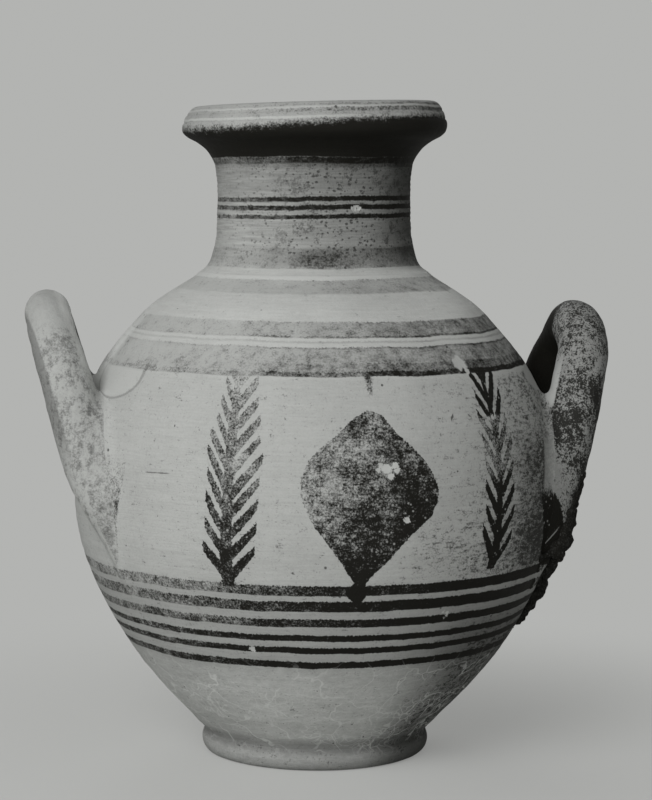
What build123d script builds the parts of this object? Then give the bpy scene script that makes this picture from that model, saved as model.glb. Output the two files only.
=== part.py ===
from build123d import *
from math import atan2, cos, hypot, sin
import os

# A painted clay water jar, built up the way a potter builds a large one:
# two thrown bowls closed on each other at the belly, a turned ring foot, a
# neck and a heavy lip on top, two loop handles pressed on the sides, a strap
# handle at the back and wads of clay in the crotches of the loops.
# Millimetres, Z up, origin in the middle of the resting ring, front at -Y.

os.makedirs("parts", exist_ok=True)

# Overall form, from the ground up
foot_height = 15.4
foot_radius = 80.3
lower_bowl_height = 173.6
belly_radius = 169.2
shoulder_height = 149.2
neck_height = 73.4
neck_radius = 67.6
lip_flare_height = 21.0
lip_face_height = 19.4

# Walls
body_wall = 8.0
floor_thickness = 9.0
neck_wall = 8.1
rim_width = 10.2

# Ring foot
foot_joint_step = 2.6
foot_tread_step = 4.3
foot_tread_width = 15.0
foot_inner_lean = 2.5
foot_edge_round = 1.8

# Neck, wider than its waist at both ends
neck_base_flare = 11.4
neck_top_flare = 2.0

# Lip
lip_overhang = 23.1
lip_face_lean = 4.5
lip_crown_rise = 1.2
lip_edge_round = 1.6
groove_width = 2.4
groove_depth = 0.8

# Loop handles: how far the root lies inside the belly's radius and the crown
# outside it, how far the root is below the belly and the crown below the
# neck, and how far each arm's root is from the middle
bar_radius = 18.5
left_root_sink = 11.0
left_crown_reach = 17.2
left_root_drop = 39.0
left_crown_drop = 27.7
left_spread = 74.0
right_root_sink = 13.8
right_crown_reach = 17.4
right_root_drop = 51.0
right_crown_drop = 39.2
right_spread = 76.0

# Strap handle at the back: it lands on the shoulder below the neck's base
strap_width = 42.0
strap_thickness = 17.0
strap_bow = 1.0
strap_neck_drop = 17.0
strap_landing_drop = 24.0
strap_foot_drop = 40.0
strap_sink = 7.0

# Wads in the crotches of the loops
wad_width = 22.0
wad_rise = 20.0
wad_sink = 5.0

# Soil hardened on the outer root of the right handle
crust_lump = 7.2
crust_length = 98.0

# Outline of the walls, as shares of the way across and up between two joints
lower_wall_shares = ((0.137, 0.081), (0.405, 0.234), (0.654, 0.415), (0.903, 0.677))
upper_wall_shares = ((0.945, 0.328), (0.777, 0.563), (0.536, 0.751), (0.229, 0.91))
neck_wall_shares = ((0.66, 0.07), (0.36, 0.22), (0.1, 0.49))
lip_flare_shares = ((0.18, 0.36),)
mouth_flare_shares = ((0.1, 0.3), (0.45, 0.68))
neck_waist_share = 0.72
floor_share = 0.72
wad_hollow_share = 0.3
groove_shares = (0.36, 0.66)

# Course of a loop handle from root to crown, for one of its two arms
rise_shares = (0.0, 0.14, 0.335, 0.555, 0.755, 0.9, 0.972, 1.0)
spread_shares = (1.0, 0.96, 0.84, 0.69, 0.56, 0.42, 0.25, 0.0)
bar_shares = (0.32, 0.66, 0.905, 1.0, 0.96, 0.89, 0.85, 0.83)
left_reach_shares = (0.0, 0.2, 0.38, 0.56, 0.75, 0.91, 0.975, 1.0)
right_reach_shares = (0.0, 0.33, 0.53, 0.75, 0.91, 0.985, 0.998, 1.0)

# Course of the strap handle from neck to shoulder: reach out, then drop
strap_shares = ((0.0, 0.0), (0.5, -0.06), (0.88, 0.1), (1.0, 0.38), (0.93, 0.7), (0.74, 0.94), (0.62, 1.08))
strap_swell_shares = (1.1, 0.95, 0.9, 0.88, 0.9, 1.0, 1.1)

# Course of the crust: way down from the belly, turn from the jar's side to
# the arm's root, size of the lump there
lump_shares = (
    (0.0, 0.8, 0.45), (0.1, 0.77, 0.85), (0.18, 0.82, 0.7), (0.28, 0.83, 1.0),
    (0.38, 0.75, 0.75), (0.49, 0.71, 1.1), (0.6, 0.63, 0.85), (0.72, 0.57, 1.05),
    (0.85, 0.5, 0.7), (0.94, 0.46, 0.8), (1.0, 0.46, 0.4),
)


def between(low, high, shares):
    places = []
    for across, up in shares:
        radius = low[0] + across * (high[0] - low[0])
        height = low[1] + up * (high[1] - low[1])
        places.append((radius, height))
    return places


def inset(points, depth):
    # The inner face of a wall: each middle point moved square to the outline
    moved = []
    for before, here, after in zip(points[:-2], points[1:-1], points[2:]):
        run = after[0] - before[0]
        rise = after[1] - before[1]
        span = hypot(run, rise)
        moved.append((here[0] - depth * rise / span, here[1] + depth * run / span))
    return moved


def wall_radius(height):
    # Outer radius of the two bowls at a height, by straight steps
    outline = lower_outline + upper_outline[1:]
    for low, high in zip(outline[:-1], outline[1:]):
        if low[1] <= height <= high[1]:
            share = (height - low[1]) / (high[1] - low[1])
            return low[0] + share * (high[0] - low[0])
    return neck_base_radius


# Heights and radii that follow from the sizes above
belly_height = foot_height + lower_bowl_height
neck_base_height = belly_height + shoulder_height
neck_waist_height = neck_base_height + neck_waist_share * neck_height
lip_base_height = neck_base_height + neck_height
lip_edge_height = lip_base_height + lip_flare_height
jar_height = lip_edge_height + lip_face_height
foot_joint_radius = foot_radius - foot_joint_step
foot_tread_radius = foot_radius - foot_tread_step
foot_inner_radius = foot_tread_radius - foot_tread_width
neck_base_radius = neck_radius + neck_base_flare
lip_base_radius = neck_radius + neck_top_flare
neck_bore_radius = neck_radius - neck_wall
lip_radius = lip_base_radius + lip_overhang
lip_crown_radius = lip_radius - lip_face_lean
mouth_radius = lip_crown_radius - rim_width

# Corners where two pieces meet, as radius and height
foot_joint = (foot_joint_radius, foot_height)
belly = (belly_radius, belly_height)
neck_base = (neck_base_radius, neck_base_height)
neck_waist = (neck_radius, neck_waist_height)
lip_base = (lip_base_radius, lip_base_height)

lower_outline = [foot_joint] + between(foot_joint, belly, lower_wall_shares) + [belly]
shoulder_low = (neck_base_radius, belly_height)
shoulder_high = (belly_radius, neck_base_height)
upper_outline = [belly] + between(shoulder_low, shoulder_high, upper_wall_shares) + [neck_base]
neck_low = (neck_radius, neck_base_height)
neck_high = (neck_base_radius, neck_waist_height)
neck_outline = [neck_base] + between(neck_low, neck_high, neck_wall_shares) + [neck_waist, lip_base]

inner_belly = (belly_radius - body_wall, belly_height)
neck_bore_foot = (neck_bore_radius, neck_base_height)
floor_height = foot_height + floor_thickness

# Ways that the outlines and inner faces run where pieces meet
upright = Vector(0, 1)
outward = Vector(1, 0)
bowl_start = Vector(1, 1)
shoulder_end = Vector(-1.2, 1)

# Solid form of the bowls and neck, which the handles are pressed against
with BuildPart() as clay_core:
    with BuildSketch(Plane.XZ):
        with BuildLine():
            Line((0, foot_height), foot_joint)
            Spline(*lower_outline, tangents=(bowl_start, upright))
            Spline(*upper_outline, tangents=(upright, shoulder_end))
            Spline(*neck_outline)
            Line(lip_base, (0, lip_base_height))
            Line((0, lip_base_height), (0, foot_height))
        make_face()
    revolve(axis=Axis.Z)

# Ring foot, turned with a rounded outer face and a hollow under the floor
with BuildPart() as foot_ring:
    with BuildSketch(Plane.XZ):
        with BuildLine():
            tread = Line((foot_inner_radius, 0), (foot_tread_radius, 0))
            ThreePointArc(tread @ 1, (foot_radius, foot_height / 2), foot_joint)
            Line(foot_joint, (foot_inner_radius - foot_inner_lean, foot_height))
            Line((foot_inner_radius - foot_inner_lean, foot_height), tread @ 0)
        make_face()
        fillet(vertices().group_by(Axis.Y)[0], foot_edge_round)
    revolve(axis=Axis.Z)

# Lower bowl, from the floor to the widest girth
lower_inner = inset(lower_outline, body_wall)[1:]
floor_edge = (foot_joint_radius * floor_share, floor_height)
with BuildPart() as lower_body:
    with BuildSketch(Plane.XZ):
        with BuildLine():
            Line((0, foot_height), foot_joint)
            Spline(*lower_outline, tangents=(bowl_start, upright))
            Line(belly, inner_belly)
            Spline(floor_edge, *lower_inner, inner_belly, tangents=(outward, upright))
            Line(floor_edge, (0, floor_height))
            Line((0, floor_height), (0, foot_height))
        make_face()
    revolve(axis=Axis.Z)

# Upper bowl, closed on the lower one at the belly and drawn in to the neck
upper_inner = inset(upper_outline, body_wall)
with BuildPart() as upper_body:
    with BuildSketch(Plane.XZ):
        with BuildLine():
            Spline(*upper_outline, tangents=(upright, shoulder_end))
            Line(neck_base, neck_bore_foot)
            Spline(inner_belly, *upper_inner, neck_bore_foot, tangents=(upright, upright))
            Line(inner_belly, belly)
        make_face()
    revolve(axis=Axis.Z)

# Neck, hollow-sided outside with a straight bore
with BuildPart() as neck:
    with BuildSketch(Plane.XZ):
        with BuildLine():
            Spline(*neck_outline)
            Line(lip_base, (neck_bore_radius, lip_base_height))
            Line((neck_bore_radius, lip_base_height), neck_bore_foot)
            Line(neck_bore_foot, neck_base)
        make_face()
    revolve(axis=Axis.Z)

# Lip: a flaring underside, an upright face with two turned grooves and a
# mouth that opens upward like a funnel
lip_crown_height = jar_height - lip_crown_rise
lip_edge = (lip_radius, lip_edge_height)
lip_crown = (lip_crown_radius, lip_crown_height)
lip_bore_foot = (neck_bore_radius, lip_base_height)
mouth_edge = (mouth_radius, lip_crown_height)
crown_top = ((lip_crown_radius + mouth_radius) / 2, jar_height)
with BuildPart() as lip:
    with BuildSketch(Plane.XZ):
        with BuildLine():
            Spline(lip_base, *between(lip_base, lip_edge, lip_flare_shares), lip_edge)
            Line(lip_edge, lip_crown)
            ThreePointArc(lip_crown, crown_top, mouth_edge)
            Spline(lip_bore_foot, *between(lip_bore_foot, mouth_edge, mouth_flare_shares), mouth_edge)
            Line(lip_bore_foot, lip_base)
        make_face()
        fillet(vertices().filter_by_position(Axis.X, lip_crown_radius, lip_radius), lip_edge_round)
    revolve(axis=Axis.Z)
    with BuildSketch(Plane.XZ):
        for share in groove_shares:
            groove_height = lip_edge_height + share * (lip_crown_height - lip_edge_height)
            groove_radius = lip_radius - share * lip_face_lean
            with Locations((groove_radius + groove_width / 2 - groove_depth, groove_height)):
                Circle(groove_width / 2)
    revolve(axis=Axis.Z, mode=Mode.SUBTRACT)


def loop_course(side, sink, reach, root_drop, crown_drop, spread, reach_shares):
    # Middle line of a loop handle, root to root, with the bar's radius there.
    # The arms start on the wall, so their places there are turned about it.
    arm = []
    rise = root_drop + shoulder_height - crown_drop
    for up, apart, bar, out in zip(rise_shares, spread_shares, bar_shares, reach_shares):
        height = belly_height - root_drop + up * rise
        stand = belly_radius - sink + out * (sink + reach)
        across = spread * apart
        along = (stand**2 - across**2) ** 0.5
        arm.append((Vector(side * along, -across, height), bar * bar_radius))
    other = [(Vector(place.X, -place.Y, place.Z), bar) for place, bar in arm[-2::-1]]
    return arm + other


def square_planes(course, facing):
    # A plane square to the course at each of its places
    places = [place for place, size in course]
    planes = []
    for index, here in enumerate(places):
        before = places[max(index - 1, 0)]
        after = places[min(index + 1, len(places) - 1)]
        planes.append(Plane(origin=here, x_dir=facing, z_dir=after - before))
    return planes


left_course = loop_course(
    -1, left_root_sink, left_crown_reach, left_root_drop, left_crown_drop, left_spread, left_reach_shares
)
right_course = loop_course(
    1, right_root_sink, right_crown_reach, right_root_drop, right_crown_drop, right_spread, right_reach_shares
)

# Loop handle on the left side
with BuildPart() as left_handle:
    for plane, (place, bar) in zip(square_planes(left_course, (-1, 0, 0)), left_course):
        with BuildSketch(plane):
            Circle(bar)
    loft()
    add(clay_core.part, mode=Mode.SUBTRACT)

# Loop handle on the right side, steeper than the left one
with BuildPart() as right_handle:
    for plane, (place, bar) in zip(square_planes(right_course, (1, 0, 0)), right_course):
        with BuildSketch(plane):
            Circle(bar)
    loft()
    add(clay_core.part, mode=Mode.SUBTRACT)

# Strap handle at the back, from under the lip to the shoulder
strap_top = lip_base_height - strap_neck_drop
strap_foot = neck_base_height - strap_foot_drop
strap_start = neck_radius - strap_sink
strap_end = wall_radius(neck_base_height - strap_landing_drop) + strap_bow
strap_course = []
for (out, down), swell in zip(strap_shares, strap_swell_shares):
    reach = strap_start + out * (strap_end - strap_start)
    strap_course.append((Vector(0, reach, strap_top - down * (strap_top - strap_foot)), swell))
with BuildPart() as back_handle:
    for plane, (place, swell) in zip(square_planes(strap_course, (1, 0, 0)), strap_course):
        with BuildSketch(plane):
            Ellipse(swell * strap_width / 2, swell * strap_thickness / 2)
    loft()
    add(clay_core.part, mode=Mode.SUBTRACT)


def arm_at(course, height):
    # Distance from the axis, turn about it and bar radius of a loop's front
    # arm at a height, from the root to the crown
    arm = course[: len(rise_shares)]
    if height < arm[0][0].Z:
        height = arm[0][0].Z
    for (low, low_bar), (high, high_bar) in zip(arm[:-1], arm[1:]):
        if height <= high.Z:
            break
    share = (height - low.Z) / (high.Z - low.Z)
    middle = low + (high - low) * share
    bar = low_bar + (high_bar - low_bar) * share
    return hypot(middle.X, middle.Y), atan2(middle.Y, middle.X), bar


def crotch_height(course):
    # Height at which the inner side of a loop's arm comes free of the wall
    low = course[0][0].Z
    high = course[len(rise_shares) - 1][0].Z
    steps = 80
    for step in range(steps + 1):
        height = low + (high - low) * step / steps
        stand, turn, bar = arm_at(course, height)
        if stand - bar > wall_radius(height):
            break
    return height


# Wads of clay pressed into the crotch between each arm and the wall, with a
# hollow top that runs from one to the other
wads = {}
for handle_name, course, handle in (("left", left_course, left_handle), ("right", right_course, right_handle)):
    bottom = crotch_height(course) - wad_sink
    top = bottom + wad_sink + wad_rise
    foot_stand, foot_turn, foot_bar = arm_at(course, bottom)
    top_stand, turn, top_bar = arm_at(course, top)
    wall_foot = (wall_radius(bottom) - wad_sink, bottom)
    wall_top = (wall_radius(top) - wad_sink, top)
    arm_foot = (foot_stand - foot_bar + wad_sink, bottom)
    arm_top = (top_stand - top_bar + wad_sink, top)
    dip = ((wall_top[0] + arm_top[0]) / 2, top - wad_hollow_share * (arm_top[0] - wall_top[0]))
    for arm_name, aim in (("front", turn), ("back", -turn)):
        frame = Plane(origin=(0, 0, 0), x_dir=(cos(aim), sin(aim), 0), z_dir=(sin(aim), -cos(aim), 0))
        with BuildPart() as wad:
            with BuildSketch(frame):
                with BuildLine():
                    Polyline(wall_top, wall_foot, arm_foot, arm_top)
                    ThreePointArc(arm_top, dip, wall_top)
                make_face()
            extrude(amount=wad_width / 2, both=True)
            add(clay_core.part, mode=Mode.SUBTRACT)
            add(handle.part, mode=Mode.SUBTRACT)
        wads[handle_name + "_" + arm_name + "_wad"] = wad

# Crust of soil on the root of the right handle's front arm: a lumpy ridge
# that runs on the outer face of the arm or of the wall, whichever stands out
root_stand, root_turn, root_bar = arm_at(right_course, 0)
crust_course = []
for down, turn, size in lump_shares:
    height = belly_height - down * crust_length
    angle = turn * root_turn
    stand, arm_turn, bar = arm_at(right_course, height)
    aside = stand * sin(angle - arm_turn)
    face = stand + (max(bar**2 - aside**2, 0)) ** 0.5
    place = max(wall_radius(height), face)
    crust_course.append((Vector(place * cos(angle), place * sin(angle), height), size))
with BuildPart() as soil_crust:
    for plane, (place, size) in zip(square_planes(crust_course, (1, 0, 0)), crust_course):
        with BuildSketch(plane):
            Circle(crust_lump * size)
    loft()
    add(clay_core.part, mode=Mode.SUBTRACT)
    add(right_handle.part, mode=Mode.SUBTRACT)

pieces = {
    "foot_ring": foot_ring,
    "lower_body": lower_body,
    "upper_body": upper_body,
    "neck": neck,
    "lip": lip,
    "left_handle": left_handle,
    "right_handle": right_handle,
    "back_handle": back_handle,
    "soil_crust": soil_crust,
}
pieces.update(wads)
for name, piece in pieces.items():
    piece.part.label = name
    export_step(piece.part, "parts/" + name + ".step")
    box = piece.part.bounding_box()
    print(name, "solids", len(piece.part.solids()), "volume", round(piece.part.volume), box.min, box.max)
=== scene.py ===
import math
from functools import partial

import bmesh
import bpy
import numpy as np
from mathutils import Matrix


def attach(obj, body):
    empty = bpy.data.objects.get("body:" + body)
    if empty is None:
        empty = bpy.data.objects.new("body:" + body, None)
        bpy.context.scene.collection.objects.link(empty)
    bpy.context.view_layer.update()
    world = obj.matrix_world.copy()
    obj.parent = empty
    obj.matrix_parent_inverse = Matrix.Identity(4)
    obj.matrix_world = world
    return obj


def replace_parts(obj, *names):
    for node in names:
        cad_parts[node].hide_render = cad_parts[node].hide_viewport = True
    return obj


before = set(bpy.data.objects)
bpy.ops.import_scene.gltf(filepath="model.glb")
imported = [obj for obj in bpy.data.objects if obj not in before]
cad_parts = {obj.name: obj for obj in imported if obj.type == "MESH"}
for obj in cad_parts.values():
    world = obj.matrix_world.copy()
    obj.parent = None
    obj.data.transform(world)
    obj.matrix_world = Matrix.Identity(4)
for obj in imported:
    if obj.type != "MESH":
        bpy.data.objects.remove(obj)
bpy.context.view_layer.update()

mm = 0.001
print("frame loaded:", ", ".join(sorted(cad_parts)))

# Camera and light

camera = {
    "place": (-0.2838, -1.7268, 0.4083),
    "turn": (84.74, 0.0, -9.5),   # degrees
    "roll": 0.45,                 # degrees, the picture's right side hangs a little
    "lens": 112.5,
    "sensor": 36.0,
    "clip": (0.05, 50),
}

cameraData = bpy.data.cameras.new("camera")
cameraData.lens = camera["lens"]
cameraData.sensor_width = camera["sensor"]
cameraData.clip_start, cameraData.clip_end = camera["clip"]
viewer = bpy.data.objects.new("camera", cameraData)
bpy.context.scene.collection.objects.link(viewer)
viewer.location = camera["place"]
viewer.rotation_euler = [math.radians(a) for a in camera["turn"]]
viewer.rotation_euler.rotate_axis("Z", math.radians(camera["roll"]))
bpy.context.scene.camera = viewer
bpy.context.scene.view_settings.view_transform = "Standard"

studio = {
    "keyPlace": (-1.30, -1.86, 1.46),
    "keySize": 1.6,
    "keyPower": 56.0,
    "backPlace": (-0.05, 1.70, 1.25),
    "backSize": 0.9,
    "backPower": 7.0,
    "aim": (0.0, 0.0, 0.22),      # both lamps look here
    "worldTone": 0.12,
    "floorTone": 0.64,
    "paperGlow": 0.455,           # what the camera sees of the paper apart from its shadows
    "glowShare": (0.5, 1.0),      # beside the jar and far from it
    "shadowReach": (0.12, 0.55),  # metres from the axis
    "paperTint": (0.99, 1.0, 0.975),
    "dishFlat": 1.5,
    "dishBend": 3.0,
    "dishTop": 6.0,
    "dishSides": 96,
    "dishSteps": 24,
}


def areaLamp(name, place, size, power):
    data = bpy.data.lights.new(name, "AREA")
    data.size = size
    data.energy = power
    lamp = bpy.data.objects.new(name, data)
    bpy.context.scene.collection.objects.link(lamp)
    lamp.location = place
    x, y, z = np.array(studio["aim"]) - np.array(place)
    lamp.rotation_euler = (math.atan2(math.hypot(x, y), -z), 0, math.atan2(y, x) - math.pi / 2)


areaLamp("keyLamp", studio["keyPlace"], studio["keySize"], studio["keyPower"])
areaLamp("backLamp", studio["backPlace"], studio["backSize"], studio["backPower"])

world = bpy.data.worlds.new("studioWorld")
bpy.context.scene.world = world
world.use_nodes = True
world.node_tree.nodes["Background"].inputs[0].default_value = (studio["worldTone"],) * 3 + (1,)

# Noise and lines for the meshes


def lattice(cells, seed):
    # one steady random number for each whole-numbered cell
    mixed = (cells[..., 0] * 73856093) ^ (cells[..., 1] * 19349663)
    mixed = mixed ^ (cells[..., 2] * 83492791) ^ (seed * 2654435761)
    mixed = (mixed ^ (mixed >> 13)) * 1274126177
    return ((mixed ^ (mixed >> 16)) & 0xFFFFFF) / 0xFFFFFF


def clayNoise(points, size, seed=1):
    # smooth noise from -1 to 1 whose features are about one size across
    place = np.asarray(points, float) / size
    cell = np.floor(place).astype(np.int64)
    part = place - cell
    part = part * part * (3 - 2 * part)
    total = 0
    for dx in (0, 1):
        for dy in (0, 1):
            for dz in (0, 1):
                corner = np.array([dx, dy, dz])
                weight = np.where(corner, part, 1 - part).prod(-1)
                total = total + weight * lattice(cell + corner, seed)
    return total * 2 - 1


def lumpy(points, table):
    # layers of noise, each with its height, size and seed
    return sum(high * clayNoise(points, size, seed) for high, size, seed in table)


def smoothLine(points, step):
    # a smooth line through the points, with a point about every step
    p = np.array(points, float)
    gaps = np.maximum(np.linalg.norm(np.diff(p[:, :3], axis=0), axis=1), 1e-9)[:, None]
    slopes = np.diff(p, axis=0) / gaps
    inward = (slopes[1:] * gaps[:-1] + slopes[:-1] * gaps[1:]) / (gaps[1:] + gaps[:-1])
    bends = np.vstack([slopes[:1], inward, slopes[-1:]])
    line = []
    for i in range(len(p) - 1):
        count = max(1, int(round(float(gaps[i, 0]) / step)))
        t = (np.arange(count) / count)[:, None]
        line.append(
            (2 * t**3 - 3 * t**2 + 1) * p[i]
            + (t**3 - 2 * t**2 + t) * gaps[i] * bends[i]
            + (3 * t**2 - 2 * t**3) * p[i + 1]
            + (t**3 - t**2) * gaps[i] * bends[i + 1]
        )
    return np.vstack(line + [p[-1:]])


def smoothStep(low, high, value):
    t = np.clip((value - low) / (high - low), 0, 1)
    return t * t * (3 - 2 * t)


# The jar's outline and its unevenness, all in millimetres

jar = {
    "segments": 480,
    "rowStep": 1.7,
    "innerStep": 6.0,
    "wall": 8.0,
    "viewTurn": 9.5,              # degrees, where the picture's right hand lies
    "seams": (15.4, 189.0, 338.2, 411.6),      # foot, girth, neck, lip
    "outline": (                  # radius, height
        (77.9, 15.4), (78.4, 16.8), (80.2, 19), (84.0, 22.6), (90.2, 29.4), (102.4, 42), (114.8, 56), (125.9, 70),
        (137.5, 87.5), (149.1, 108.5), (160.3, 133), (167.2, 160), (169.2, 189), (168, 217), (164.2, 238),
        (158.1, 255.5), (149, 273), (139, 287), (127.1, 301), (113.4, 315), (99.3, 324.8), (85.7, 333.2),
        (79, 338.2), (75.4, 341.6), (71.7, 350), (68.7, 364), (67.8, 381.5), (67.7, 397.6), (69.6, 411.6),
    ),
    "bore": 59.5,                 # radius of the mouth's narrowest part
    "girthInside": 161.2,
    "well": 24.4,                 # height of the inner floor
    "hands": ((0.55, 48, 3), (0.28, 17, 5), (0.07, 2.6, 11)),   # noise: height, size, seed
    "turning": ((0.22, 5.5, 7), (0.13, 2.4, 9)),
    "ringFlat": (0.1, 0.1, 1.0),
    "ridges": ((0.7, 337, 1.6), (-0.35, 326.6, 1.0)),           # how far out, height, half width
    "oval": 0.5,
    "dent": (-0.5, 90, 30),       # the right side of the lower bowl: how far out, height, half width
    "neckLines": (0.16, 1.9, (350, 362), (402, 412)),
    "shiftHeights": (0, 84, 210, 336, 400, 448),
    "shift": (-1.0, -0.5, -2.0, -4.3, -4.6, -4.2),
    "tiltHeights": (0, 20, 70, 300, 338, 392, 432, 452),
    "tilt": (0, 0, -0.02, 0.0, -0.4, -0.9, -0.75, -1.9),   # degrees
}

outer = smoothLine(jar["outline"], jar["rowStep"])
wallHeights = outer[:, 1]
wallRadii = outer[:, 0]


def wallRadius(height):
    return np.interp(height, wallHeights, wallRadii)


def wallLean(height):
    # change of radius with height
    return (wallRadius(height + 1.0) - wallRadius(height - 1.0)) / 2.0


def unevenness(points):
    # how far the turned wall stands out from its ideal radius
    x, y, z = points[:, 0], points[:, 1], points[:, 2]
    turn = np.arctan2(y, x)
    right = math.radians(-jar["viewTurn"])
    deep, level, wide = jar["dent"]
    dent = deep * np.exp(-(((z - level) / wide) ** 2)) * np.clip(np.cos(turn - right), 0, 1) ** 2
    oval = jar["oval"] * np.cos(2 * turn + 0.6 + z * 0.008) * smoothStep(5, 60, z)
    wave, often, start, end = jar["neckLines"]
    lines = wave * np.sin(z * often) * smoothStep(*start, z) * (1 - smoothStep(*end, z))
    ridge = sum(out * np.exp(-(((z - level) / wide) ** 2)) for out, level, wide in jar["ridges"])
    return dent + oval + lines + ridge + lumpy(points, jar["hands"]) + lumpy(points * jar["ringFlat"], jar["turning"])


chips = (                         # turn from the front in degrees, height, radius, depth
    (16.0, 382.0, 3.4, 0.7), (32.4, 281.5, 6.0, 0.4), (6.2, 218.6, 6.5, 0.7),
    (11.1, 184.7, 2.2, 0.6), (-26.5, 95.5, 2.6, 0.6), (-43.3, 107.6, 2.2, 0.5), (-21.0, 84.5, 5.0, 0.5),
    (118.0, 230.0, 6.0, 0.8), (-140.0, 120.0, 5.0, 0.7), (165.0, 300.0, 4.0, 0.7), (-95.0, 300.0, 4.0, 0.7),
)


def chipping(points):
    x, y, z = points[:, 0], points[:, 1], points[:, 2]
    turn = np.degrees(np.arctan2(x, -y))
    depth = np.zeros(len(points))
    ragged = lumpy(points, ((0.45, 2.6, 21),))
    for where, height, radius, deep in chips:
        aside = ((turn - where + 180) % 360 - 180) * math.pi / 180 * wallRadius(height)
        away = np.hypot(aside, z - height) + ragged * radius
        depth += deep * (1 - smoothStep(radius * 0.7, radius * 1.15, away))
    return depth


def handmade(points):
    # leans and tilts the jar as the potter left it
    points = np.array(points, float)
    turn = math.radians(jar["viewTurn"])
    right = np.array([math.cos(turn), -math.sin(turn)])
    across = points[:, :2] @ right
    lift = across * np.tan(np.radians(np.interp(points[:, 2], jar["tiltHeights"], jar["tilt"])))
    shift = np.interp(points[:, 2], jar["shiftHeights"], jar["shift"])
    points[:, :2] += shift[:, None] * right
    points[:, 2] -= lift
    return points


# Loop handles: points are along, aside, height and bar radius of the front arm

loops = {
    "left": {
        "side": -1,
        "lumps": ((0.7, 22, 31), (0.35, 8, 32), (0.12, 3, 33)),
        "tuck": 3.8,              # how much nearer the back arm lies
        "arm": (
            (139.5, 74.5, 136, 2.5), (144, 74.5, 146, 3.5), (147.8, 72, 165, 9.5), (151.8, 69.6, 178, 13),
            (161.6, 60, 205, 17), (170.2, 49, 240, 18.3), (178.2, 40, 272, 17.2), (184.8, 25, 297, 15.9),
            (185.5, 0, 310.5, 15.3),
        ),
    },
    "right": {
        "side": 1,
        "lumps": ((0.7, 22, 41), (0.35, 8, 42), (0.12, 3, 43)),
        "tuck": 0.0,
        "arm": (
            (134, 75.5, 124, 2), (140, 76.3, 134, 3.2), (144.8, 75, 149, 8.2), (148, 73, 161, 11.8),
            (155.2, 67, 190, 16), (166.8, 56, 222, 18), (178, 43, 256, 18.2), (187, 27, 284, 18),
            (188.7, 0, 299.5, 17.6),
        ),
    },
    "ringStep": 1.6,
    "around": 72,
    "fullBar": 18.0,              # bar radius at which the back arm has its whole tuck
    "rootBlend": 6.0,
    "armBlend": 17.0,
    "armHeights": (150, 190),
    "crotchBlend": 9.5,
    "crotchHeights": (232, 262),
}

pressing = {
    "near": (-9.0, 20.0),         # points this far from the neighbour's face move
    "ease": (0, 14),
    "sink": 0.05,                 # for each millimetre inside the neighbour
    "dive": (0.35, 2.5),          # how steeply, and from how deep, points dive away
    "rounds": 4,
    "nudge": 0.25,
    "flattest": 0.2,
    "farthest": 12.0,
}

for name in ("left", "right"):
    loop = loops[name]
    arm = [(loop["side"] * x, -y, z, r) for x, y, z, r in loop["arm"]]
    tuck = loop["side"] * loop["tuck"] / loops["fullBar"]
    back = [(x - tuck * r, -y, z, r) for x, y, z, r in arm[-2::-1]]
    loop["line"] = smoothLine(arm + back, loops["ringStep"])
    loop["bones"] = np.vstack([loop["line"][:-1:3], loop["line"][-1:]])

strap = {
    "line": (                     # back from the axis, height, half width, half thickness
        (60, 394.6, 23, 9), (87, 400, 20, 8.1), (107, 385, 19, 7.7), (113, 358, 18.5, 7.5),
        (109.5, 327, 19, 7.7), (99.5, 304, 21, 8.5), (93, 290, 23, 9.4),
    ),
    "ringStep": 1.6,
    "around": 64,
    "blend": 9.0,
    "lumps": ((0.5, 16, 51), (0.2, 5, 52)),
    "lumpWay": (0.3, 0.8, 0.3),
}
strapLine = smoothLine(strap["line"], strap["ringStep"])


def wallField(points):
    # distance outside the wall, negative inside it
    radius = np.hypot(points[:, 0], points[:, 1])
    lean = wallLean(points[:, 2])
    return (radius - wallRadius(points[:, 2])) / np.sqrt(1 + lean**2)


def loopField(points, line):
    # distance outside a round bar that follows the line
    starts = line[:-1, :3]
    runs = line[1:, :3] - starts
    length = (runs**2).sum(1)
    best = np.full(len(points), 1e9)
    for start, run, size, low, high in zip(starts, runs, length, line[:-1, 3], line[1:, 3]):
        share = np.clip(((points - start) @ run) / size, 0, 1)
        away = np.linalg.norm(points - start - share[:, None] * run, axis=1) - low - share * (high - low)
        best = np.minimum(best, away)
    return best


def strapField(points, line):
    best = np.full(len(points), 1e9)
    for (*start, wide, thick), end in zip(line[:-1], line[1:, :2]):
        run = end - start
        offset = points[:, 1:] - start
        share = np.clip((offset @ run) / (run @ run), 0, 1)
        away = np.linalg.norm(offset - share[:, None] * run, axis=1)
        best = np.minimum(best, (np.hypot(points[:, 0] / wide, away / thick) - 1) * thick)
    return best


def smoothUnion(a, b, blend):
    close = np.maximum(blend - np.abs(a - b), 0) / blend
    return np.minimum(a, b) - close * close * blend / 4


def blendAt(points):
    # the clay is smoothed wide above the roots and tighter in the crotches
    arm = (loops["armBlend"] - loops["rootBlend"]) * smoothStep(*loops["armHeights"], points[:, 2])
    crotch = (loops["crotchBlend"] - loops["armBlend"]) * smoothStep(*loops["crotchHeights"], points[:, 2])
    return loops["rootBlend"] + arm + crotch


def united(own, other, blend):
    # the field of a piece and its neighbour smoothed together
    def field(points):
        width = blend(points) if callable(blend) else blend
        return smoothUnion(own(points), other(points), width)
    return field


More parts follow.
